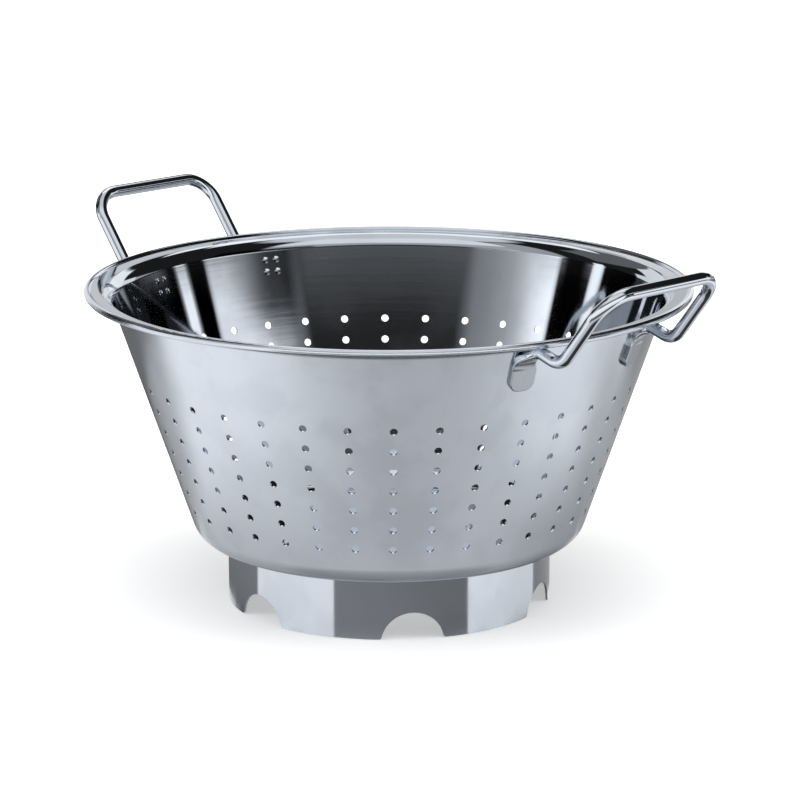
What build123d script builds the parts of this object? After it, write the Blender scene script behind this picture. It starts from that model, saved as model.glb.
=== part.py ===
from build123d import *
import os
from math import asin, cos, degrees, floor, radians, sin, sqrt, tan

# A stainless steel colander: a perforated bowl on a foot ring, with two wire handles.
# The origin is on the table, under the middle of the bowl. +Z is up, and +X runs
# through the right handle. Lengths are in millimetres and angles in degrees.

# The bowl is pressed from one sheet.
sheet = 0.8
rim_radius = 140.0        # outside of the rolled edge
rim_height = 148.0        # top of the rolled edge above the table
lip_width = 10.5          # from the rolled edge in to where the wall's face would meet it
lip_step = 1.1            # the rolled edge stands this far above the flange
roll_radius = 1.7         # outside of the curl, in section
roll_start = 195.0        # where the curl leaves the flange, turned from outwards through up
roll_turn = 305.0         # how far the edge is curled over
flare_radius = 8.0        # bend between wall and flange, underneath
wall_lean = 19.0          # the wall's slope away from the vertical
corner_radius = 13.0      # bend between base and wall, outside
base_height = 28.5        # underside of the base above the table

# Drain holes: level rows of aligned columns in the wall, and rings in the base.
hole_diameter = 3.5
hole_rows = 7
holes_per_row = 36
top_row_drop = 41.7       # from the rim's top down to the top row
bottom_row_rise = 19.0    # from the base up to the bottom row
column_angle = 6.8        # first column, measured from the right handle
ring_pitch = 12.0
ring_step_count = 6       # each ring in the base has this many more holes than the last
ring_margin = 10.0        # bare band between the outermost ring and the foot's flange

# The foot is a stamped ring with a flange turned in under the bowl.
foot_inset = 4.0          # from the end of the base's flat in to the foot's outside
foot_sheet = 1.0
foot_bend = 2.0           # outside of the bend
foot_flange = 11.0        # from the foot's outside to the flange's inner edge
notch_count = 6
notch_width = 28.5
notch_height = 12.4
notch_corner = 1.5        # rounding where a notch meets the table
notch_angle = 24.0        # first notch, measured from the right handle

# Each handle is one bent wire, whose ends are pressed flat into welded pads. A leg's
# points are measured from the rim: inwards or outwards from its edge, and down from its top.
wire_diameter = 5.8
leg_spacing = 72.0
hump_inset = 5.1          # the wire's highest bend, tucked in under the flange
hump_drop = 5.7
hump_bend = 5.0
dip_outset = 7.15         # its lowest bend, outside the rim
dip_drop = 9.6
dip_bend = 8.0
leg_rise = 33.3           # from the dip up to the grip
leg_lean = 38.0
grip_bend = 13.5
pad_width = 12.0
pad_thickness = 2.0
pad_length = 10.8         # the flat part, from the toe up to where it starts to swell
pad_toe_corner = 4.5
pad_edge = 0.6            # rounding along the pad's front edges
swell_drop = 14.5         # where the flat pad starts to swell towards the wire

# Between pad and wire the metal bends away from the wall and turns from flat to round.
fold_drop = 8.4           # the pad's top edge, where the metal leaves the wall
fold_width = 10.0
fold_thickness = 3.4
fold_rise = 45.0          # its direction there, above the level
fold_edge = 1.0
throat_inset = 8.7        # a section between fold and wire
throat_drop = 7.4
throat_width = 7.6
throat_thickness = 3.8
throat_rise = 25.0
throat_edge = 1.6
neck_end_inset = 6.7      # where the metal is fully round
neck_end_drop = 6.1
round_edge_share = 0.98   # corner rounding of the last section, as a share of the wire's radius

# Weld spots hold the pads and the foot. Each leaves a shallow dish inside the bowl.
spot_diameter = 3.2
spot_pitch = 5.8
spot_bite = 1.2           # how deep a spot reaches into a pad
spot_dish = 0.15
spot_drop = 6.3           # from the fold down to the middle of a pad's four spots
foot_spot_count = 6
foot_spot_bite = 0.6      # how deep a spot reaches into the foot's flange
foot_spot_angle = 54.0    # first foot spot, measured from the right handle

overrun = 4.0             # how far a cutting tool runs past what it cuts

lean = radians(wall_lean)
mouth_radius = rim_radius - lip_width
roll_centre_radius = rim_radius - roll_radius
roll_centre_height = rim_height - roll_radius
flange_end_radius = roll_centre_radius - roll_radius + sheet / 2


def wall_radius(height, inset=0):
    """Radius of the wall at a height above the table, `inset` in from its outer face."""
    return mouth_radius - (rim_height - height) * tan(lean) - inset / cos(lean)


# The base's flat ends where the corner begins, and the foot stands just inside that.
base_flat_radius = wall_radius(base_height) - corner_radius * tan((radians(90) - lean) / 2)
foot_radius = base_flat_radius - foot_inset
foot_inner_radius = foot_radius - foot_flange

# The legs stand in two upright planes, and each pad sits on the wall behind its leg.
wire_radius = wire_diameter / 2
leg_half = leg_spacing / 2
rim_reach = sqrt(rim_radius**2 - leg_half**2)
fold_height = rim_height - fold_drop
swell_height = rim_height - swell_drop
pad_angle = degrees(asin(leg_half / wall_radius(fold_height)))


def skin(inset):
    """One face of the pressed sheet in section, `inset` in from its outer face."""
    base = base_height + inset
    flange = rim_height - lip_step - sheet + inset
    return FilletPolyline(
        (0, base),
        (wall_radius(base, inset), base),
        (wall_radius(flange, inset), flange),
        (flange_end_radius, flange),
        radius=[corner_radius - inset, flare_radius + inset],
    )


def turned(edges):
    """The solid that a closed outline in the upright plane sweeps around the bowl's axis."""
    return revolve(Plane.XZ * make_face(edges), axis=Axis.Z)


def bowl_block(inset):
    """Everything inside one face of the bowl, as a solid up to the flange."""
    face = skin(inset)
    middle = (0, (face @ 1).Y)
    return turned([*face.edges(), Line(face @ 1, middle), Line(middle, face @ 0)])


def band(outer, inner):
    """The solid between two lines in the upright plane, turned around the bowl's axis."""
    ends = [Line(outer @ 0, inner @ 0), Line(outer @ 1, inner @ 1)]
    return turned([*outer.edges(), *inner.edges(), *ends])


def bowl_sheet():
    """The pressed bowl with its rolled edge, before any hole is punched."""
    centre = (roll_centre_radius, roll_centre_height)
    outside = CenterArc(centre, roll_radius, roll_start, -roll_turn)
    hollow = CenterArc(centre, roll_radius - sheet, roll_start, -roll_turn)
    return band(skin(0), skin(sheet)) + band(outside, hollow)


def on_wall(height, angle, inset=0):
    """A frame on the wall: X runs round the bowl, Y up the slope and Z outwards."""
    out = Vector(cos(radians(angle)), sin(radians(angle)), 0)
    point = out * wall_radius(height, inset) + Vector(0, 0, height)
    normal = out * cos(lean) - Vector(0, 0, sin(lean))
    return Plane(origin=point, x_dir=(-out.Y, out.X, 0), z_dir=normal)


def wall_punches():
    """One punch for each drain hole in the wall, square to the sheet."""
    top_row = rim_height - top_row_drop
    bottom_row = base_height + bottom_row_rise
    row_pitch = (top_row - bottom_row) / (hole_rows - 1)
    punch = Cylinder(hole_diameter / 2, sheet + 2 * overrun)
    punches = []
    for row in range(hole_rows):
        for column in range(holes_per_row):
            angle = column_angle + column * 360 / holes_per_row
            punches.append(on_wall(top_row - row * row_pitch, angle) * punch)
    return punches


def base_punches():
    """One punch for each drain hole in the base: a middle hole and rings around it."""
    ring_count = floor((foot_inner_radius - ring_margin) / ring_pitch)
    punch = Pos(0, 0, base_height) * Cylinder(hole_diameter / 2, sheet + 2 * overrun)
    punches = [punch]
    for ring in range(1, ring_count + 1):
        hole_count = ring * ring_step_count
        for hole in range(hole_count):
            turn = Rot(0, 0, hole * 360 / hole_count)
            punches.append(turn * Pos(ring * ring_pitch, 0, 0) * punch)
    return punches


def notch_cutter():
    """An arch with flared feet, pushed through one side of the foot from outside."""
    half_width = notch_width / 2
    arch_radius = (half_width**2 + notch_height**2) / (2 * notch_height)
    arch = Pos(0, notch_height - arch_radius) * Circle(arch_radius)
    ground = Pos(0, -arch_radius / 2) * Rectangle(2 * notch_width, arch_radius)
    opening = arch + ground
    feet = [v for v in opening.vertices() if abs(v.Y) < notch_corner and abs(v.X) < notch_width]
    opening = fillet(feet, notch_corner)
    outside = Plane.YZ.offset(foot_radius + overrun)
    return extrude(outside * opening, -foot_flange - overrun)


def foot_ring():
    """The foot: an upright band, a flange turned in under the bowl, and arched notches."""
    lines = []
    for inset in (0, foot_sheet):
        lines.append(
            FilletPolyline(
                (foot_radius - inset, 0),
                (foot_radius - inset, base_height - inset),
                (foot_inner_radius, base_height - inset),
                radius=[foot_bend - inset],
            )
        )
    ring = band(*lines)
    cutter = notch_cutter()
    angles = [notch_angle + notch * 360 / notch_count for notch in range(notch_count)]
    return ring - [Rot(0, 0, angle) * cutter for angle in angles]


def leg_point(inset, drop):
    """A point in a leg's plane, `inset` from the rim's edge and `drop` under the rim's top."""
    return Vector(rim_reach - inset, leg_half, rim_height - drop)


def mirrored(point):
    """The same point on the other leg."""
    return Vector(point.X, -point.Y, point.Z)


def bent_wire():
    """The round wire from one neck, over both legs and the grip, to the other neck."""
    neck_end = leg_point(neck_end_inset, neck_end_drop)
    hump = leg_point(hump_inset, hump_drop)
    dip = leg_point(-dip_outset, dip_drop)
    grip = dip + Vector(leg_rise * tan(radians(leg_lean)), 0, leg_rise)
    half = [neck_end, hump, dip, grip]
    bends = [hump_bend, dip_bend, grip_bend]
    points = half + [mirrored(point) for point in reversed(half)]
    path = FilletPolyline(*points, radius=bends + bends[::-1])
    section = Plane(origin=path @ 0, z_dir=path % 0) * Circle(wire_radius)
    return sweep(section, path=path)


def rising(angle, rise):
    """The direction that leaves the bowl's axis at an angle round it and climbs by `rise`."""
    level = cos(radians(rise))
    return Vector(level * cos(radians(angle)), level * sin(radians(angle)), sin(radians(rise)))


def neck_section(centre, direction, width, thickness, edge):
    """One section across the neck. Its width runs level."""
    across = Vector(0, 0, 1).cross(direction)
    plane = Plane(origin=centre, x_dir=across, z_dir=direction)
    return plane * RectangleRounded(width, thickness, edge)


def neck():
    """The metal between a flat pad and the round wire, drawn through four sections."""
    # the first section reaches into the wall, and is trimmed to its face afterwards
    swell = on_wall(swell_height, pad_angle)
    swell_centre = swell.origin + swell.z_dir * (pad_thickness - sheet) / 2
    swell_section = neck_section(
        swell_centre, swell.y_dir, pad_width, pad_thickness + sheet, pad_edge
    )

    # the second leaves the wall, with its upper face on the pad's top edge
    fold_direction = rising(pad_angle, fold_rise)
    fold_up = rising(pad_angle, fold_rise + 90)
    fold_centre = on_wall(fold_height, pad_angle).origin - fold_up * fold_thickness / 2
    fold_section = neck_section(
        fold_centre, fold_direction, fold_width, fold_thickness, fold_edge
    )

    # the third has turned half of the way from the pad's direction to the leg's
    throat_centre = leg_point(throat_inset, throat_drop)
    throat_direction = rising(pad_angle / 2, throat_rise)
    throat_section = neck_section(
        throat_centre, throat_direction, throat_width, throat_thickness, throat_edge
    )

    # the last is as round as the wire it joins
    end = leg_point(neck_end_inset, neck_end_drop)
    end_direction = leg_point(hump_inset, hump_drop) - end
    end_edge = wire_radius * round_edge_share
    end_section = neck_section(end, end_direction, wire_diameter, wire_diameter, end_edge)
    return loft([swell_section, fold_section, throat_section, end_section])


def pad():
    """One flattened end of the wire, up to where it starts to swell."""
    frame = on_wall(swell_height, pad_angle)
    outline = Pos(0, -pad_length / 2) * Rectangle(pad_width, pad_length)
    outline = fillet(outline.vertices().group_by(Axis.Y)[0], pad_toe_corner)
    plate = extrude(Pos(0, 0, -sheet) * outline, pad_thickness + sheet)
    front = plate.faces().sort_by(Axis.Z)[-1]
    rim_edges = [edge for edge in front.edges() if edge.center().Y < -pad_edge]
    return frame * fillet(rim_edges, pad_edge)


def spot_places():
    """Frames on the wall at the four weld spots of one pad."""
    frame = on_wall(fold_height, pad_angle)
    half_pitch = spot_pitch / 2
    return [
        frame * Pos(across, along - spot_drop, 0)
        for across in (-half_pitch, half_pitch)
        for along in (-half_pitch, half_pitch)
    ]


def spot_plug(bite):
    """A weld spot's full cylinder, which also cuts its seat. Its frame is on the outer face."""
    length = sheet + overrun + bite
    return Pos(0, 0, bite - length / 2) * Cylinder(spot_diameter / 2, length)


def spot_dish_cutter():
    """The ball that leaves the shallow dish in a spot's face, inside the bowl."""
    ball_radius = ((spot_diameter / 2) ** 2 + spot_dish**2) / (2 * spot_dish)
    return Pos(0, 0, spot_dish - sheet - ball_radius) * Sphere(ball_radius)


def weld_spots(places, bite):
    """The weld spots at some frames, flush with the bowl's inner face but for their dishes."""
    inside = bowl_block(sheet)
    dish = spot_dish_cutter()
    return [place * spot_plug(bite) - inside - place * dish for place in places]


def foot_spot_places():
    """Frames under the base, pointing down, at the foot's weld spots."""
    circle_radius = (foot_radius - foot_bend + foot_inner_radius) / 2
    under = Pos(circle_radius, 0, base_height) * Rot(180, 0, 0)
    angles = [foot_spot_angle + spot * 360 / foot_spot_count for spot in range(foot_spot_count)]
    return [Rot(0, 0, angle) * under for angle in angles]


def write(name, solids):
    """Write one node: a single solid, or a group of separate ones."""
    shape = solids[0] if len(solids) == 1 else Compound(children=solids)
    export_step(shape, os.path.join("parts", name + ".step"))


def build():
    os.makedirs("parts", exist_ok=True)

    # The right handle and its eight weld spots, four on each pad
    one_end = pad() + neck()
    handle = bent_wire() + one_end + mirror(one_end, Plane.XZ) - bowl_block(0)
    near_places = spot_places()
    near_plugs = [place * spot_plug(spot_bite) for place in near_places]
    near_spots = weld_spots(near_places, spot_bite)
    plugs = near_plugs + [mirror(plug, Plane.XZ) for plug in near_plugs]
    spots = near_spots + [mirror(spot, Plane.XZ) for spot in near_spots]
    handle = handle - plugs

    # The left handle is the same, turned half round the bowl
    half_turn = Rot(0, 0, 180)
    write("right_handle", [handle.solid()])
    write("left_handle", [half_turn * handle.solid()])
    write("right_handle_weld_spots", [spot.solid() for spot in spots])
    write("left_handle_weld_spots", [half_turn * spot.solid() for spot in spots])

    # The foot ring and its weld spots
    foot_places = foot_spot_places()
    foot_plugs = [place * spot_plug(foot_spot_bite) for place in foot_places]
    foot = foot_ring() - foot_plugs
    write("foot_ring", [foot.solid()])
    write("foot_weld_spots", [spot.solid() for spot in weld_spots(foot_places, foot_spot_bite)])

    # The bowl, with a seat for every weld spot and all its drain holes
    seats = plugs + [half_turn * plug for plug in plugs] + foot_plugs
    bowl = bowl_sheet() - seats - wall_punches() - base_punches()
    write("bowl", [bowl.solid()])


build()
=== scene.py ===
# %% [markdown]
# A stainless steel colander stands on a white table: a bowl full of drain holes, a foot ring
# under it, and two wire handles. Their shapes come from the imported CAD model. This lesson
# gives them their metal and builds the photographer's studio round them. Polished steel has
# hardly any colour of its own, so what stands round it matters as much as its finish.

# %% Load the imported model
from math import cos, pi, radians, sin, tan

import bmesh
import bpy
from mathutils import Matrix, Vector

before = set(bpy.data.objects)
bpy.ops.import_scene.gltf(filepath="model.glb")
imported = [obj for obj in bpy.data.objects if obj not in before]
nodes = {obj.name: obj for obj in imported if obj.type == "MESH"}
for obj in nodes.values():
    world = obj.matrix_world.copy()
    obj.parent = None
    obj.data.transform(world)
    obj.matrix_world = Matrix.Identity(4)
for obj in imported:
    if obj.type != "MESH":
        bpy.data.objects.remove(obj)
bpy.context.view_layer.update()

print("CAD nodes:", sorted(nodes))

# %% [markdown]
# The camera stands where the photographer's stood: a long lens 1.7 m away, a little above the
# rim. It is turned 45.8 degrees from the colander's front, so that one handle comes forward
# on the right. The lens is given in pixels, which is how it was measured in the photograph,
# and a point on the bowl's axis fixes where the picture is aimed.

# %% Place the camera
picture_width = 800
focal_pixels = 3656
camera_distance = 1.7
camera_turn = radians(45.8)
camera_rise = radians(14.37)
waist = Vector((0, 0, 0.070))
waist_pixel = (389.1, 447.4)
sensor_width = 36

forward = Vector((sin(camera_turn), -cos(camera_turn), 0))
rightward = Vector((cos(camera_turn), sin(camera_turn), 0))
backward = forward * cos(camera_rise) + Vector((0, 0, sin(camera_rise)))
upward = backward.cross(rightward)
middle = picture_width / 2
metres_per_pixel = camera_distance / focal_pixels
aim = waist + rightward * (middle - waist_pixel[0]) * metres_per_pixel
aim += upward * (waist_pixel[1] - middle) * metres_per_pixel

camera_data = bpy.data.cameras.new("camera")
camera_data.sensor_width = sensor_width
camera_data.lens = focal_pixels * sensor_width / picture_width
camera = bpy.data.objects.new("camera", camera_data)
bpy.context.scene.collection.objects.link(camera)
camera.location = waist + backward * camera_distance
camera.rotation_euler = (aim - camera.location).to_track_quat("-Z", "Y").to_euler()
bpy.context.scene.camera = camera
bpy.context.scene.view_settings.view_transform = "Standard"
print("lens in mm:", round(camera_data.lens, 1))

# %% [markdown]
# Every finish below is a small tree of nodes. These helpers add a node and fill its inputs,
# with a number or with another node's output, so that each tree reads like the sum it is.

# %% Helpers for node trees
def add(tree, kind, values=None, **settings):
    """Add a node, set its properties, and fill its inputs by name or number."""
    node = tree.nodes.new(kind)
    for name, value in settings.items():
        setattr(node, name, value)
    for name, value in (values or {}).items():
        fill(tree, node.inputs[name], value)
    return node


def fill(tree, socket, value):
    """Link an output to an input, or set the input to a value."""
    if isinstance(value, bpy.types.NodeSocket):
        tree.links.new(value, socket)
    else:
        socket.default_value = value


def calculate(tree, operation, *values):
    """A Math node with its inputs filled in order. It gives the node's output."""
    node = add(tree, "ShaderNodeMath", operation=operation)
    for socket, value in zip(node.inputs, values):
        fill(tree, socket, value)
    return node.outputs[0]


def vector(tree, operation, *values):
    """A Vector Math node, filled the same way. It gives a number where it measures one."""
    node = add(tree, "ShaderNodeVectorMath", operation=operation)
    for socket, value in zip(node.inputs, values):
        fill(tree, socket, value)
    return node.outputs["Value" if operation in ("DOT_PRODUCT", "LENGTH") else "Vector"]


def smooth(tree, value, low, high, bottom=0.0, top=1.0):
    """A soft rise from one level to another while a value passes from low to high."""
    values = {"Value": value, "From Min": low, "From Max": high, "To Min": bottom, "To Max": top}
    node = add(tree, "ShaderNodeMapRange", values, interpolation_type="SMOOTHSTEP")
    return node.outputs["Result"]


def product(tree, first, *others):
    """Several values multiplied."""
    for other in others:
        first = calculate(tree, "MULTIPLY", first, other)
    return first


def between(tree, value, low, high, soft_low, soft_high):
    """One inside a range and nothing outside it, with soft ends that lie beyond the range."""
    rise = smooth(tree, value, low - soft_low, low)
    fall = smooth(tree, value, high, high + soft_high, 1.0, 0.0)
    return product(tree, rise, fall)


def brightest_of(tree, first, *others):
    """The largest of several values."""
    for other in others:
        first = calculate(tree, "MAXIMUM", other, first)
    return first


def scaled(tree, arrow, length):
    """A vector times a number."""
    longer = vector(tree, "SCALE", arrow)
    fill(tree, longer.node.inputs["Scale"], length)
    return longer


def new_material(name):
    """A material with nothing but its output."""
    material = bpy.data.materials.new(name)
    material.use_nodes = True
    tree = material.node_tree
    tree.nodes.clear()
    return material, tree, add(tree, "ShaderNodeOutputMaterial")


def on_the_axis(tree):
    """Object coordinates, the direction out from the bowl's axis, and the distance from it."""
    coord = add(tree, "ShaderNodeTexCoord")
    flat = vector(tree, "MULTIPLY", coord.outputs["Object"], (1, 1, 0))
    return coord, vector(tree, "NORMALIZE", flat), vector(tree, "LENGTH", flat)


def height_of(tree, coord):
    """How far a place is above the table."""
    return vector(tree, "DOT_PRODUCT", coord.outputs["Object"], (0, 0, 1))


helpers = (add, fill, calculate, vector, smooth, product, between, brightest_of, scaled)
print("helpers:", [helper.__name__ for helper in helpers])

# %% [markdown]
# Sheet steel is polished with belts and wheels while it spins, so it carries very fine lines
# that run round the axis. The lines come from noise that is stretched round the bowl: its
# place changes quickly up the slope and slowly round the circle. A second, cloudy noise says
# where handling has dulled the polish. Every steel below needs both, so they are built once
# as a node group.

# %% Node group for polishing lines
line_detail = 4.0
cloud_scale = 45.0         # clouds of wear, about 2 cm across
cloud_detail = 3.0
wear_range = (0.4, 0.65)   # the noise where wear starts, and where it is full


def polish_group():
    """Lines along a stretched place, and soft clouds of wear."""
    group = bpy.data.node_groups.new("polish", "ShaderNodeTree")
    group.interface.new_socket("Stretched", in_out="INPUT", socket_type="NodeSocketVector")
    group.interface.new_socket("Place", in_out="INPUT", socket_type="NodeSocketVector")
    group.interface.new_socket("Lines", in_out="OUTPUT", socket_type="NodeSocketFloat")
    group.interface.new_socket("Wear", in_out="OUTPUT", socket_type="NodeSocketFloat")
    inside = add(group, "NodeGroupInput")
    outside = add(group, "NodeGroupOutput")
    lines = add(group, "ShaderNodeTexNoise", {
        "Vector": inside.outputs["Stretched"], "Scale": 1.0, "Detail": line_detail,
    })
    clouds = add(group, "ShaderNodeTexNoise", {
        "Vector": inside.outputs["Place"], "Scale": cloud_scale, "Detail": cloud_detail,
    })
    group.links.new(lines.outputs["Fac"], outside.inputs["Lines"])
    group.links.new(smooth(group, clouds.outputs["Fac"], *wear_range), outside.inputs["Wear"])
    return group


polish = polish_group()
print("node group:", polish.name)

# %% [markdown]
# The CAD mesh is cut into long thin triangles between the drain holes, and a mirror finish
# shows how their shading wobbles. But every large face here was turned about one axis, so its
# true direction follows from where it is. The wall is a cone, the base is flat, the foot is
# upright, and each bend is part of a ring tube with a known centre. The group compares each
# such direction with the triangle's own, and uses it where the two agree.

# %% Node group for the turned faces' true directions
wall_lean = radians(19)
base_bend = (0.07908, 0.0415)      # the centre of each bend: distance from the axis, and height
lip_bend = (0.13455, 0.1381)
rolled_edge = (0.1383, 0.1463)
wall_starts = 0.0376               # heights between which the wall is a plain cone
wall_ends = 0.1406
foot_top = 0.0265                  # the foot is upright below this height
agreement = 0.9                    # the cosine of how far a triangle's direction may be off


def turned_normal_group():
    """The surface's direction, exact on every large turned face."""
    group = bpy.data.node_groups.new("turned_normal", "ShaderNodeTree")
    group.interface.new_socket("Normal", in_out="OUTPUT", socket_type="NodeSocketVector")
    outside = add(group, "NodeGroupOutput")
    coord, outward, radius = on_the_axis(group)
    height = height_of(group, coord)
    face = add(group, "ShaderNodeNewGeometry").outputs["True Normal"]

    def above(value, limit):
        return calculate(group, "GREATER_THAN", value, limit)

    def below(value, limit):
        return calculate(group, "LESS_THAN", value, limit)

    def direction(out, up):
        """A direction in the upright plane through the axis, from its two parts."""
        level = scaled(group, outward, out)
        upright = add(group, "ShaderNodeCombineXYZ", {"Z": up}).outputs[0]
        return vector(group, "NORMALIZE", vector(group, "ADD", level, upright))

    def from_centre(centre):
        """The direction of a bend's face: straight away from the middle of its tube."""
        out = calculate(group, "SUBTRACT", radius, centre[0])
        up = calculate(group, "SUBTRACT", height, centre[1])
        return direction(out, up)

    on_wall = product(group, above(height, wall_starts), below(height, wall_ends))
    on_base_bend = product(
        group, below(height, wall_starts), above(height, foot_top), above(radius, base_bend[0]))
    on_lip_bend = product(group, above(height, wall_ends), below(radius, lip_bend[0]))
    on_rolled_edge = product(group, above(height, wall_ends), above(radius, lip_bend[0]))
    faces = [
        (direction(cos(wall_lean), -sin(wall_lean)), on_wall),
        (from_centre(base_bend), on_base_bend),
        (from_centre(lip_bend), on_lip_bend),
        (direction(0.0, 1.0), calculate(group, "SUBTRACT", 1.0, on_wall)),
        (direction(1.0, 0.0), below(height, foot_top)),
        (from_centre(rolled_edge), on_rolled_edge),
    ]
    normal = coord.outputs["Normal"]
    for true_direction, place in faces:
        match = vector(group, "DOT_PRODUCT", face, true_direction)
        sided = scaled(group, true_direction, calculate(group, "SIGN", match))
        agrees = product(group, above(calculate(group, "ABSOLUTE", match), agreement), place)
        choice = add(group, "ShaderNodeMix", {
            "Factor": agrees, "A": normal, "B": sided,
        }, data_type="VECTOR")
        normal = choice.outputs["Result"]
    group.links.new(normal, outside.inputs["Normal"])
    return group


turned_normal = turned_normal_group()
print("node group:", turned_normal.name)

# %% [markdown]
# The bowl is brighter inside than outside: the inside is buffed until it mirrors the room, and
# the outside is left satin. A normal that points out from the axis marks the outside. The
# highlight of lined metal spreads across its lines, so the shader is anisotropic, and its
# tangent points up the slope. The slope's direction is the surface's own normal crossed with
# the direction round the bowl, which is right on the wall, the base, the flange and the foot
# alike.

# %% Sheet steel for the bowl and the foot
steel_tint = (0.614, 0.660, 0.726, 1)
worn_tint = (0.575, 0.620, 0.685, 1)
lines_per_metre = 260
lines_round = 1.3            # how fast the noise changes round the circle
line_depth = 0.00001
line_strength = 0.6
outside_range = (0.3, 0.8)   # how far out a normal points, from buffed inside to satin outside
worn_roughness = 0.02        # what full wear adds to the roughness


def bare_metal(tree, output, values):
    """Finish a material as plain metal, with the shader's other inputs given."""
    shader = add(tree, "ShaderNodeBsdfPrincipled", {"Metallic": 1.0, **values})
    tree.links.new(shader.outputs["BSDF"], output.inputs["Surface"])


def polished(tree, stretched, coord):
    """The polishing lines and the wear at a place."""
    group = add(tree, "ShaderNodeGroup", node_tree=polish)
    fill(tree, group.inputs["Stretched"], stretched)
    fill(tree, group.inputs["Place"], coord.outputs["Object"])
    return group.outputs["Lines"], group.outputs["Wear"]


def mixed_tint(tree, share, first, second):
    """A colour between two."""
    mix = add(tree, "ShaderNodeMix", {"A": first, "B": second}, data_type="RGBA")
    fill(tree, mix.inputs["Factor"], share)
    return mix.outputs["Result"]


def sheet_steel(name, rough_inside, rough_outside, stretch):
    """Lined sheet steel, with its own roughness on the side that faces the axis."""
    material, tree, output = new_material(name)
    coord, outward, radius = on_the_axis(tree)
    along = product(tree, calculate(tree, "ADD", radius, height_of(tree, coord)), lines_per_metre)
    along = add(tree, "ShaderNodeCombineXYZ", {"Z": along}).outputs[0]
    stretched = vector(tree, "ADD", scaled(tree, outward, lines_round), along)
    lines, wear = polished(tree, stretched, coord)

    true_normal = add(tree, "ShaderNodeGroup", node_tree=turned_normal).outputs["Normal"]
    facing_out = vector(tree, "DOT_PRODUCT", outward, true_normal)
    rough = smooth(tree, facing_out, *outside_range, rough_inside, rough_outside)
    bump = add(tree, "ShaderNodeBump", {
        "Height": lines, "Distance": line_depth, "Strength": line_strength, "Normal": true_normal,
    })
    around = vector(tree, "CROSS_PRODUCT", (0, 0, 1), outward)
    bare_metal(tree, output, {
        "Base Color": mixed_tint(tree, wear, steel_tint, worn_tint),
        "Roughness": calculate(tree, "MULTIPLY_ADD", wear, worn_roughness, rough),
        "Anisotropic": stretch,
        "Tangent": vector(tree, "CROSS_PRODUCT", true_normal, around),
        "Normal": bump.outputs["Normal"],
    })
    return material


bowl_steel = sheet_steel("bowl_steel", 0.045, 0.2, 0.7)
foot_steel = sheet_steel("foot_steel", 0.12, 0.1, 0.6)
print("sheet finishes:", bowl_steel.name, foot_steel.name)

# %% [markdown]
# The handles are bright drawn wire, the shiniest metal of all. Their pads were flattened in a
# press, which leaves a greyer, duller face. The material finds the pads by place: they lie
# within a few millimetres of the wall, and below the bend where the metal leaves it. The wire
# shows no polishing lines, so it takes only the wear from their node group.

# %% Wire steel for the handles
mouth_radius = 0.1295               # where the wall's line meets the height of the rim
rim_height = 0.148
pressed_tint = (0.43, 0.465, 0.51, 1)
pad_edge = (0.0022, 0.0032)         # off the wall, where the pressed face ends
pad_top = (0.1365, 0.1395)          # heights between which the pad turns to wire
wire_roughness = 0.03
pad_roughness = 0.22


def wire_steel():
    """Polished wire whose pressed pads are duller."""
    material, tree, output = new_material("wire_steel")
    coord, _, radius = on_the_axis(tree)
    height = height_of(tree, coord)
    wear = polished(tree, coord.outputs["Object"], coord)[1]

    wall_at_table = mouth_radius - rim_height * tan(wall_lean)
    wall = calculate(tree, "MULTIPLY_ADD", height, tan(wall_lean), wall_at_table)
    off_wall = calculate(tree, "SUBTRACT", radius, wall)
    close = smooth(tree, off_wall, *pad_edge, 1.0, 0.0)
    pad = product(tree, close, smooth(tree, height, *pad_top, 1.0, 0.0))
    rough = smooth(tree, pad, 0.0, 1.0, wire_roughness, pad_roughness)
    bare_metal(tree, output, {
        "Base Color": mixed_tint(tree, pad, steel_tint, pressed_tint),
        "Roughness": calculate(tree, "MULTIPLY_ADD", wear, worn_roughness, rough),
    })
    return material


handle_steel = wire_steel()
print("handle finish:", handle_steel.name)

# %% [markdown]
# Each weld spot is a little pressed dish inside the bowl. The electrode leaves it a bit
# rougher than the buffed steel round it, with a fine cloudy grain.

# %% Weld steel
weld_grain = (900, 900, 900)
weld_darkening = 0.5
weld_roughness = (0.3, 0.7, 0.06, 0.14)   # the grain's dark and light, and the roughness of each


def weld_steel():
    """Steel that an electrode has pressed and warmed."""
    material, tree, output = new_material("weld_steel")
    coord = add(tree, "ShaderNodeTexCoord")
    stretched = vector(tree, "MULTIPLY", coord.outputs["Object"], weld_grain)
    grain = polished(tree, stretched, coord)[0]
    bare_metal(tree, output, {
        "Base Color": mixed_tint(tree, product(tree, grain, weld_darkening), steel_tint, pressed_tint),
        "Roughness": smooth(tree, grain, *weld_roughness),
    })
    return material


spot_steel = weld_steel()
print("weld finish:", spot_steel.name)

# %% [markdown]
# Each CAD node came with one empty material slot. The finishes go into those slots, and the
# meshes stay as the CAD made them.

# %% Give each node its finish
finishes = {
    "bowl": bowl_steel,
    "foot_ring": foot_steel,
    "right_handle": handle_steel,
    "left_handle": handle_steel,
}
for name, node in nodes.items():
    node.data.materials[0] = finishes.get(name, spot_steel)
    print(name, "is", node.data.materials[0].name)
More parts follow.
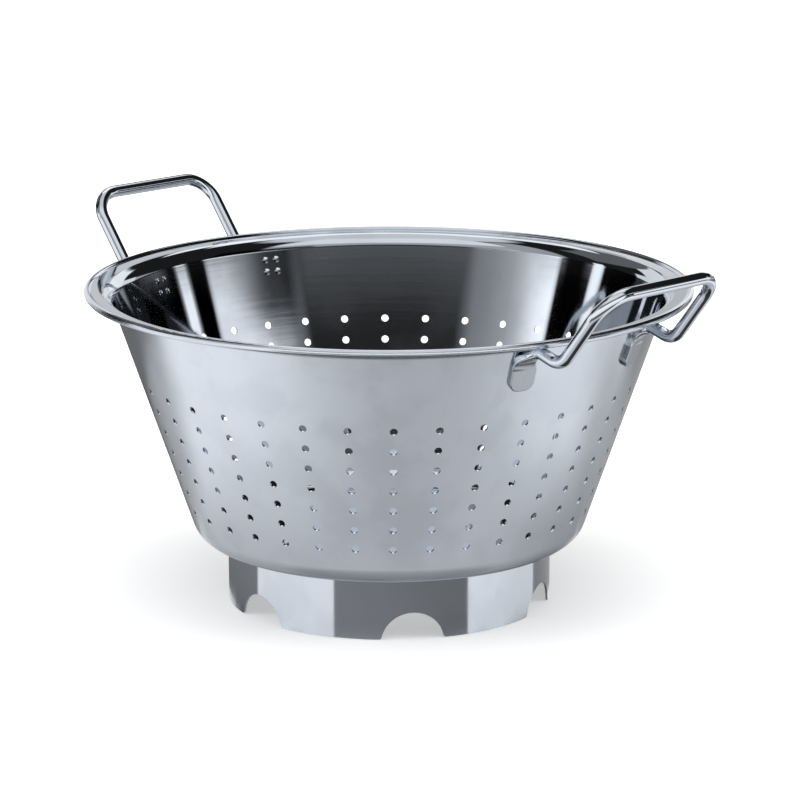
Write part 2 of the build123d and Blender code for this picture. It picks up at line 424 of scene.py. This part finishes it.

# %% [markdown]
# Round the table stands a studio that only the reflections see, because polished steel looks
# like whatever it mirrors. Its pieces are named by bearings: a turn, in degrees to the right of
# the camera, and a rise above the table. Each piece is made by a bmesh builder.

# %% Helpers for the studio
def studio_bearings(tree):
    """Turn from the camera, to the right, and rise, in degrees, and the rise's sine."""
    coord = add(tree, "ShaderNodeTexCoord")
    unit = vector(tree, "NORMALIZE", coord.outputs["Object"])
    ahead = vector(tree, "DOT_PRODUCT", unit, tuple(forward))
    aside = vector(tree, "DOT_PRODUCT", unit, tuple(rightward))
    climb = vector(tree, "DOT_PRODUCT", unit, (0, 0, 1))
    turn = calculate(tree, "DEGREES", calculate(tree, "ARCTAN2", aside, ahead))
    rise = calculate(tree, "DEGREES", calculate(tree, "ARCSINE", climb))
    return turn, rise, climb


def white_light(tree, strength):
    """A white glow of a given strength."""
    return add(tree, "ShaderNodeEmission", {"Color": (1, 1, 1, 1), "Strength": strength}).outputs[0]


def staged(name, mesh_builder, material, reflections_only=True):
    """A piece of the studio, made by a bmesh builder. Most are seen in reflections alone."""
    mesh = bpy.data.meshes.new(name)
    bm = bmesh.new()
    mesh_builder(bm)
    bm.to_mesh(mesh)
    bm.free()
    mesh.materials.append(material)
    piece = bpy.data.objects.new(name, mesh)
    bpy.context.scene.collection.objects.link(piece)
    if reflections_only:
        piece.visible_camera = False
        piece.visible_diffuse = False
        piece.visible_shadow = False
        piece.visible_transmission = False
    print("stage piece:", piece.name)


print("a turn of 0 points to the camera:", tuple(round(part, 3) for part in forward))

# %% [markdown]
# Most of the studio is a dome of soft white panels with black gaps between them. A panel is a
# range of turn and of rise with soft edges, and the brightest panel wins where they overlap.
# The handles, the flange and the rolled edge mirror them. A range that goes past 180 degrees
# keeps its soft edge off the dome, so that no seam shows there.

# %% Panels of the dome
dark_level = 0.015
panels = [
    # turn from, to, soft; rise from, to, soft below, soft above; strength
    (-60, 60, 6, -8, 26, 1, 6, 1.3),              # the big softbox round the camera
    (-60, 60, 6, 26, 44, 6, 4, 0.5),              # its dimmer middle
    (-60, 60, 6, 46, 72, 5, 10, 1.0),             # its upper part
    (-85, -60, 4, 22, 60, 2, 4, 0.45),            # a dim card on its left
    (-104, -34, 1, -8, 15, 0.5, 4, 1.2),          # a low screen on the left
    (-108.5, -102.5, 0.7, -8, 20, 0.5, 1, 1.25),  # a narrow upright strip beside that screen
    (88, 112, 1, -8, 8, 0.5, 2, 1.2),             # a low screen on the right
    (112, 138, 2, -8, 12, 0.5, 3, 0.5),           # its dim far end
    (139, 153, 1, 7, 14, 0.5, 1, 0.95),           # low screens behind, right of the middle
    (153, 190, 1, -8, 14, 0.5, 1, 0.9),
    (153, 170, 2, 8, 26, 1, 4, 1.15),
    (170, 190, 2, 13, 22, 1, 2, 0.6),
    (-190, -165, 2, -8, 22, 0.5, 2, 0.7),         # and left of it
    (-168, -145, 2, -8, 28, 0.5, 2, 0.95),
    (-145, -134, 2, -8, 16, 0.5, 2, 0.9),
    (-200, -110, 3, 30, 50, 3, 3, 0.15),          # a faint wall over those
    (157, 200, 3, 41, 68, 1.5, 5, 1.35),          # a bright box high behind, in four stepped parts
    (145, 160, 3, 53, 68, 2, 5, 1.35),
    (-200, -167, 3, 40, 68, 1.5, 5, 1.3),
    (-170, -150, 3, 46, 68, 2, 5, 1.3),
    (-200, 200, 1, 68, 95, 6, 1, 0.8),            # the ceiling
]
flag_turns = (38, 86, 4, 3)    # a black flag in front of the panels: turn and rise, from, to and softness
flag_rises = (21, 34, 2, 5)
flag_depth = -0.95


def panel_light(tree, turn, rise):
    """The brightest panel at a bearing, less what the flag takes away."""
    light = dark_level
    for *turns, rise_from, rise_to, soft_below, soft_above, strength in panels:
        across = between(tree, turn, *turns, turns[-1])
        upright = between(tree, rise, rise_from, rise_to, soft_below, soft_above)
        light = brightest_of(tree, light, product(tree, across, upright, strength))
    flag = product(tree, between(tree, turn, *flag_turns), between(tree, rise, *flag_rises))
    return product(tree, light, calculate(tree, "MULTIPLY_ADD", flag, flag_depth, 1.0))


print("panels:", len(panels))

# %% [markdown]
# The inside wall of the bowl is a cone, so from the camera it mirrors only a thin arc of the
# dome, highest on the camera's side and lower to the left and right. Its light is painted
# along that arc alone: a level for each turn, read from a list of points, which gives the dark
# middle, the two bright sides, and the black bands and white strips beside them. Two effects
# run across the arc: the middle grows lighter upwards, and a cloud shades the right part.

# %% Light along the inside's arc
arc_drop = 0.104       # the arc's sine of rise is arc_reach times the cosine of half the turn, less this
arc_reach = 0.605
brightest = 1.5
inside_view = [
    # turn and light
    (-180, 0.0), (-108.8, 0.0), (-108, 1.35), (-102.8, 1.35), (-102, 0.0), (-84, 0.0),
    (-82.5, 1.5), (-76, 1.3), (-72, 1.05), (-66, 0.68), (-60, 0.46), (-50, 0.33), (-42, 0.26),
    (-34, 0.02), (40, 0.02), (48, 0.35), (54, 0.75), (62, 1.05), (70, 1.15), (80, 1.2),
    (89.5, 1.15), (91, 0.0), (101, 0.0), (102, 1.35), (107.5, 1.35), (108.5, 0.0), (180, 0.0),
]
# heights over the arc are differences of sines; each group is from, to, and the two levels
middle_turns = (-40, 45, 6, 6)
middle_light = (-0.035, 0.028, 0.012, 0.17)
cloud_edge_by_turn = (56, 88, -0.021, 0.002)
cloud_softness = (-0.007, 0.009)
cloud_starts = (38, 50)
cloud_fades = (58, 92, 0.95, 0.1)


def light_by_turn(tree, turn, levels):
    """A light level for each turn, read from a list of points."""
    ramp = add(tree, "ShaderNodeValToRGB")
    elements = ramp.color_ramp.elements
    while len(elements) < len(levels):
        elements.new(1.0)
    for element, (angle, level) in zip(elements, levels):
        share = level / brightest
        element.position = (angle + 180) / 360
        element.color = (share, share, share, 1)
    fill(tree, ramp.inputs["Fac"], calculate(tree, "MULTIPLY_ADD", turn, 1 / 360, 0.5))
    level = vector(tree, "DOT_PRODUCT", ramp.outputs["Color"], (1 / 3, 1 / 3, 1 / 3))
    return product(tree, level, brightest)


def height_over_arc(tree, turn, climb):
    """How far a bearing is above the arc."""
    half_turn = calculate(tree, "COSINE", product(tree, turn, radians(0.5)))
    raised = calculate(tree, "ADD", climb, arc_drop)
    return calculate(tree, "MULTIPLY_ADD", half_turn, -arc_reach, raised)


def arc_light(tree, turn, over_arc):
    """What the inside wall mirrors at a bearing near the arc."""
    middle_part = product(tree, smooth(tree, over_arc, *middle_light), between(tree, turn, *middle_turns))
    level = brightest_of(tree, light_by_turn(tree, turn, inside_view), middle_part)
    cloud_edge = smooth(tree, turn, *cloud_edge_by_turn)
    over_edge = calculate(tree, "SUBTRACT", over_arc, cloud_edge)
    cloud = product(tree, smooth(tree, turn, *cloud_starts), smooth(tree, turn, *cloud_fades),
                    smooth(tree, over_edge, *cloud_softness))
    return product(tree, level, calculate(tree, "SUBTRACT", 1.0, cloud))


print("points along the arc:", len(inside_view))

# %% [markdown]
# The arc's light shows through a slit in the panels that follows the arc, so the handles and
# the flange still mirror the panels above and below it. On the camera's side the slit reaches
# lower.

# %% The studio dome
dome_radius = 3.0
slit_turns = (-140, 140, 5, 5)
slit_bottom = (-0.065, -0.055)
slit_top_by_turn = (50, 75, 0.035, 0.014)   # the slit's top edge is lower towards the sides
slit_top_softness = (0.0, 0.01, 1.0, 0.0)
low_slit_turns = (-38, 42, 5, 5)
low_slit_heights = (-0.1, -0.05, 0.01, 0.01)


def slit_mask(tree, turn, over_arc):
    """One inside the slit and nothing outside it."""
    top_edge = smooth(tree, calculate(tree, "ABSOLUTE", turn), *slit_top_by_turn)
    under_top = smooth(tree, calculate(tree, "SUBTRACT", over_arc, top_edge), *slit_top_softness)
    slit = product(tree, smooth(tree, over_arc, *slit_bottom), under_top)
    low_slit = product(tree, between(tree, over_arc, *low_slit_heights), between(tree, turn, *low_slit_turns))
    return product(tree, brightest_of(tree, slit, low_slit), between(tree, turn, *slit_turns))


def dome_material():
    """Panels, with the inside wall's own light in the slit."""
    material, tree, output = new_material("studio_dome")
    turn, rise, climb = studio_bearings(tree)
    over_arc = height_over_arc(tree, turn, climb)
    light = add(tree, "ShaderNodeMix", {
        "Factor": slit_mask(tree, turn, over_arc),
        "A": panel_light(tree, turn, rise),
        "B": arc_light(tree, turn, over_arc),
    }, data_type="FLOAT")
    tree.links.new(white_light(tree, light.outputs["Result"]), output.inputs["Surface"])
    return material


def ball(bm):
    """A fine ball round the whole studio."""
    bmesh.ops.create_icosphere(bm, subdivisions=5, radius=dome_radius)


staged("studio_dome", ball, dome_material())

# %% [markdown]
# The foot mirrors what stands low round the table. Cards no higher than a hand stand there,
# close by: a dull black one in front, and a white one on each side of it. They give the foot
# its dark middle and its two bright bands, and the bowl above looks out over their tops.

# %% The low cards
card_radius = 0.32
card_height = 0.085
card_steps = 24
low_cards = [
    # turn from, to; light at each end
    (-180, -97, 0.12, 0.2),
    (-97, -35, 1.2, 1.2),
    (-35, 51, 0.19, 0.12),
    (51, 113, 1.2, 1.1),
    (113, 180, 0.3, 0.5),
]


def card_strip(turn_from, turn_to):
    """A builder for a strip round part of a circle: one upright edge, spun about the axis."""
    def build(bm):
        start = camera_turn - pi / 2 + radians(turn_from)
        across = card_radius * cos(start)
        along = card_radius * sin(start)
        foot = bm.verts.new((across, along, 0))
        top = bm.verts.new((across, along, card_height))
        edge = bm.edges.new((foot, top))
        bmesh.ops.spin(bm, geom=[foot, top, edge], cent=(0, 0, 0), axis=(0, 0, 1), dvec=(0, 0, 0),
                       angle=radians(turn_to - turn_from), steps=card_steps)
    return build


def card_material(turn_from, turn_to, light_from, light_to):
    """A glow that changes evenly from one end of the card to the other."""
    material, tree, output = new_material("low_card")
    turn = studio_bearings(tree)[0]
    light = white_light(tree, smooth(tree, turn, turn_from, turn_to, light_from, light_to))
    tree.links.new(light, output.inputs["Surface"])
    return material


for card in low_cards:
    staged("low_card", card_strip(*card[:2]), card_material(*card))

# %% [markdown]
# The table is matt white, and what looks at it straight or in a mirror sees it a little
# lighter than its paint is, more so far away, so that it runs into the white backdrop and still
# keeps the colander's shadow. The backdrop is lightened by the same Light Path nodes, so they
# are a helper.

# %% The table
table_radius = 6.0
table_depth = -0.0003               # just under the foot, and under the sheen below
table_paint = (0.85, 0.85, 0.85, 1)
table_lift = (0.25, 0.7, 0.4, 1.0)  # distances from the axis, and the added light at each
disc_segments = 96


def disc(radius, height):
    """A builder for a flat round plate."""
    def build(bm):
        bmesh.ops.create_circle(bm, cap_ends=True, cap_tris=False, segments=disc_segments, radius=radius)
        bmesh.ops.translate(bm, vec=(0, 0, height), verts=bm.verts)
    return build


def looked_at(tree):
    """One for rays from the camera, mirrors and glass, and nothing for the light that falls on things."""
    path = add(tree, "ShaderNodeLightPath")
    kinds = ("Is Camera Ray", "Is Glossy Ray", "Is Transmission Ray")
    return brightest_of(tree, *[path.outputs[kind] for kind in kinds])


def table_material():
    """Matt white that looks a little lighter than it lights."""
    material, tree, output = new_material("white_table")
    distance = on_the_axis(tree)[2]
    matt = add(tree, "ShaderNodeBsdfDiffuse", {"Color": table_paint})
    lift = white_light(tree, product(tree, looked_at(tree), smooth(tree, distance, *table_lift)))
    both = add(tree, "ShaderNodeAddShader", {0: matt.outputs[0], 1: lift})
    tree.links.new(both.outputs[0], output.inputs["Surface"])
    return material


staged("white_table", disc(table_radius, table_depth), table_material(), reflections_only=False)

# %% [markdown]
# Over the table, for reflections alone, lies its sheen. The outside of the bowl leans over the
# table, so this sheen is most of what the outside shows. Its glow is painted light that stands in
# for the lit tabletop: brighter to each side, with painted shade on the right close to the bowl,
# and a painted shadow of the colander that makes it dimmer near the foot. A reflection that looks
# nearly straight down comes from under the rim, and there the sheen is painted dark as the shade
# under the rim. At a low angle the tabletop is glossy and really mirrors the dome.

# %% The table's sheen
sheen_radius = 2.5
sheen_depth = -0.0001
# painted light of the table, brighter to each side
side_steps = [
    # turn from, to: how much the light changes between them
    (10, -70, 0.46),
    (-88, -112, -0.5),
    (25, 70, 0.40),
    (76, 104, -0.5),
]
# each group is from, to, and the level at each; distances are from the axis, in metres
side_distances = (0.12, 0.22)
# painted shade on the table to the right, close to the bowl
right_shade_turns = (30, 90)
right_shade_distances = (0.13, 0.24, -0.25, 0.0)
# painted shadow of the colander: the table's painted light is dimmer near the foot
near_distances = (0.07, 0.13, 0.42, 0.69)
# painted shade under the rim, for reflections that look nearly straight down
rim_shade_facing = (0.08, 0.19, 1.0, 0.0)
painted_rim_shade_distances = (0.108, 0.125, 0.3, 0.97)
mirror_facing = (0.5, 0.75, 0.03, 0.93)
mirror_tint = (0.92, 0.92, 0.92, 1)
mirror_roughness = 0.04


def change_by_turn(tree, turn, start, end, change):
    """A change of light that grows from one turn to another, in either direction."""
    if start < end:
        return smooth(tree, turn, start, end, 0.0, change)
    return smooth(tree, turn, end, start, change, 0.0)


def table_light(tree, turn, distance):
    """Painted light that stands in for the lit tabletop at a place, with painted shade and shadow."""
    # painted light, brighter to each side of the bowl
    side_light = 0.0
    for step in side_steps:
        side_light = calculate(tree, "ADD", change_by_turn(tree, turn, *step), side_light)
    side_light = product(tree, side_light, smooth(tree, distance, *side_distances))
    # painted shade to the right, close to the bowl
    right_shade = product(
        tree, smooth(tree, turn, *right_shade_turns), smooth(tree, distance, *right_shade_distances))
    # painted shadow of the colander, dimmer near the foot
    near_light = smooth(tree, distance, *near_distances)
    return calculate(tree, "ADD", calculate(tree, "ADD", side_light, near_light), right_shade)


def sheen_material():
    """Painted light for the lit tabletop, brighter to each side and with painted shade, and a real mirror at
    low angles.
    """
    material, tree, output = new_material("table_sheen")
    turn = studio_bearings(tree)[0]
    distance = on_the_axis(tree)[2]
    facing = add(tree, "ShaderNodeLayerWeight", {"Blend": 0.5}).outputs["Facing"]
    # painted shade under the rim: much darker where a reflection looks nearly straight down
    painted_rim_shade = product(
        tree, smooth(tree, facing, *rim_shade_facing), smooth(tree, distance, *painted_rim_shade_distances))
    light = product(tree, table_light(tree, turn, distance), calculate(tree, "SUBTRACT", 1.0, painted_rim_shade))
    mirror = add(tree, "ShaderNodeBsdfGlossy", {"Color": mirror_tint, "Roughness": mirror_roughness})
    low = smooth(tree, facing, *mirror_facing)
    mix = add(tree, "ShaderNodeMixShader", {0: low, 1: white_light(tree, light), 2: mirror.outputs[0]})
    tree.links.new(mix.outputs[0], output.inputs["Surface"])
    return material


staged("table_sheen", disc(sheen_radius, sheen_depth), sheen_material())

# %% [markdown]
# Three soft lamps light what isn't metal, which here is the table with the colander's shadow.
# They are kept out of the reflections, because the dome's panels already stand for them.

# %% Lamps
lamps = [
    # name, turn, rise, distance, size, watts
    ("key", 0, 80, 2.0, 1.8, 30),
    ("left", -80, 25, 1.8, 0.8, 8),
    ("right", 80, 25, 1.8, 0.8, 8),
]


def lamp(name, turn, rise, distance, size, watts):
    """A square lamp at a bearing from the camera, aimed at the colander."""
    data = bpy.data.lights.new(name, "AREA")
    data.shape = "SQUARE"
    data.size = size
    data.energy = watts
    light = bpy.data.objects.new(name, data)
    bpy.context.scene.collection.objects.link(light)
    level = forward * cos(radians(turn)) + rightward * sin(radians(turn))
    light.location = (level * cos(radians(rise)) + Vector((0, 0, sin(radians(rise))))) * distance
    light.rotation_euler = (waist - light.location).to_track_quat("-Z", "Y").to_euler()
    light.visible_camera = False
    light.visible_glossy = False


for settings in lamps:
    lamp(*settings)
    print("lamp:", settings[0], settings[-1], "W")

# %% [markdown]
# The world is white where it is looked at, and lower for everything that it lights. That gives
# the white backdrop of the photograph without flooding the table.

# %% The backdrop
backdrop_level = 0.4    # what falls on things
backdrop_lift = 0.6     # what is added where it is looked at

world = bpy.data.worlds.new("studio")
bpy.context.scene.world = world
world.use_nodes = True
sky = world.node_tree
sky.nodes.clear()
strength = calculate(sky, "MULTIPLY_ADD", looked_at(sky), backdrop_lift, backdrop_level)
backdrop = add(sky, "ShaderNodeBackground", {"Color": (1, 1, 1, 1), "Strength": strength})
sky.links.new(backdrop.outputs[0], add(sky, "ShaderNodeOutputWorld").inputs["Surface"])
print("world:", world.name)
